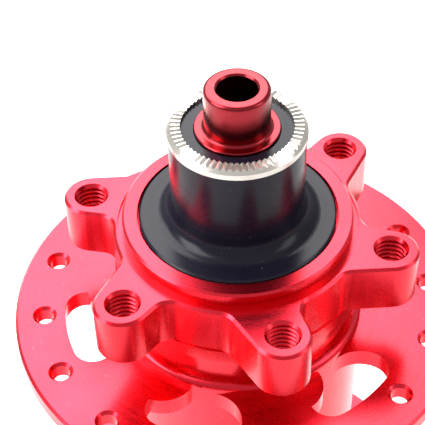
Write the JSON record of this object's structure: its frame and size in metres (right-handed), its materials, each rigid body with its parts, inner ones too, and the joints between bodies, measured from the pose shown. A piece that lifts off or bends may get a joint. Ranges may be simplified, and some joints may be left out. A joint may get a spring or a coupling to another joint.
{
  "type": "bicycle rear hub",
  "caption": "Flanged disc-brake rear hub with lobed rotor mount, flared end caps, cartridge bearings and a ratcheting splined cassette body.",
  "frame": {"origin": "on the axle's axis, half way between the two faces that the frame clamps", "axes": "+Z along the axle towards the disc side, -Z towards the drive side, +X through one rotor bolt hole"},
  "size_m": [0.067, 0.067, 0.1476],
  "materials": {
    "red_anodised_shell": "bright red anodised, fine turning marks",
    "red_anodised": "red anodised, turned",
    "black_anodised": "satin black anodised",
    "nickel_steel": "nickel plated, bright",
    "bearing_steel": "ground and polished",
    "tool_steel": "hardened, dull",
    "spring_steel": "rolled strip",
    "plain_alloy": "clear anodised",
    "cage_plastic": "moulded nylon",
    "black_rubber": "matt"
  },
  "bodies": {
    "axle_set": {"axle": "red_anodised", "end_cap_o_rings": "black_rubber", "disc_end_cap": "black_anodised", "drive_end_cap": "black_anodised", "disc_face_ring": "nickel_steel", "drive_face_ring": "nickel_steel", "axle_spacer": "plain_alloy", "freehub_spacer": "plain_alloy", "disc_bearing_inner_race": "bearing_steel", "drive_bearing_inner_race": "bearing_steel", "inner_freehub_bearing_inner_race": "bearing_steel", "outer_freehub_bearing_inner_race": "bearing_steel"},
    "shell_set": {"hub_shell": "red_anodised_shell", "ratchet_ring": "tool_steel", "freehub_seal": "black_rubber", "disc_bearing_outer_race": "bearing_steel", "disc_bearing_seals": "black_rubber", "drive_bearing_outer_race": "bearing_steel", "drive_bearing_seals": "black_rubber"},
    "freehub_set": {"freehub_body": "plain_alloy", "pawl_springs": "spring_steel", "inner_freehub_bearing_outer_race": "bearing_steel", "inner_freehub_bearing_seals": "black_rubber", "outer_freehub_bearing_outer_race": "bearing_steel", "outer_freehub_bearing_seals": "black_rubber"},
    "pawl_1_set": {"pawl_1": "tool_steel"},
    "pawl_2_set": {"pawl_2": "tool_steel"},
    "pawl_3_set": {"pawl_3": "tool_steel"},
    "disc_cage_set": {"disc_bearing_cage": "cage_plastic", "disc_bearing_balls": "bearing_steel"},
    "drive_cage_set": {"drive_bearing_cage": "cage_plastic", "drive_bearing_balls": "bearing_steel"},
    "inner_freehub_cage_set": {"inner_freehub_bearing_cage": "cage_plastic", "inner_freehub_bearing_balls": "bearing_steel"},
    "outer_freehub_cage_set": {"outer_freehub_bearing_cage": "cage_plastic", "outer_freehub_bearing_balls": "bearing_steel"}
  },
  "joints": [
    {"name": "shell_spin", "type": "hinge", "parent": "axle_set", "child": "shell_set", "pos_m": [0, 0, 0.046], "axis": [0, 0, 1], "continuous": true},
    {"name": "freehub_spin", "type": "hinge", "parent": "axle_set", "child": "freehub_set", "pos_m": [0, 0, -0.0327], "axis": [0, 0, 1], "continuous": true},
    {"name": "disc_cage_spin", "type": "hinge", "parent": "axle_set", "child": "disc_cage_set", "pos_m": [0, 0, 0.046], "axis": [0, 0, 1], "continuous": true},
    {"name": "drive_cage_spin", "type": "hinge", "parent": "axle_set", "child": "drive_cage_set", "pos_m": [0, 0, -0.0159], "axis": [0, 0, 1], "continuous": true},
    {"name": "inner_freehub_cage_spin", "type": "hinge", "parent": "axle_set", "child": "inner_freehub_cage_set", "pos_m": [0, 0, -0.0327], "axis": [0, 0, 1], "continuous": true},
    {"name": "outer_freehub_cage_spin", "type": "hinge", "parent": "axle_set", "child": "outer_freehub_cage_set", "pos_m": [0, 0, -0.054], "axis": [0, 0, 1], "continuous": true},
    {"name": "pawl_1_lift", "type": "hinge", "parent": "freehub_set", "child": "pawl_1_set", "pos_m": [0.0134, 0, -0.0241], "axis": [0, 0, -1], "range_deg": [0, 8], "stiffness_Nm_per_rad": 0.004, "springref_deg": 8.02},
    {"name": "pawl_2_lift", "type": "hinge", "parent": "freehub_set", "child": "pawl_2_set", "pos_m": [-0.0067, 0.0116, -0.0241], "axis": [0, 0, -1], "range_deg": [0, 8], "stiffness_Nm_per_rad": 0.004, "springref_deg": 8.02},
    {"name": "pawl_3_lift", "type": "hinge", "parent": "freehub_set", "child": "pawl_3_set", "pos_m": [-0.0067, -0.0116, -0.0241], "axis": [0, 0, -1], "range_deg": [0, 8], "stiffness_Nm_per_rad": 0.004, "springref_deg": 8.02}
  ],
  "couplings": [
    {"joint": "disc_cage_spin", "follows": "shell_spin", "ratio": 0.5814},
    {"joint": "drive_cage_spin", "follows": "shell_spin", "ratio": 0.5814},
    {"joint": "inner_freehub_cage_spin", "follows": "freehub_spin", "ratio": 0.5608},
    {"joint": "outer_freehub_cage_spin", "follows": "freehub_spin", "ratio": 0.5814}
  ]
}
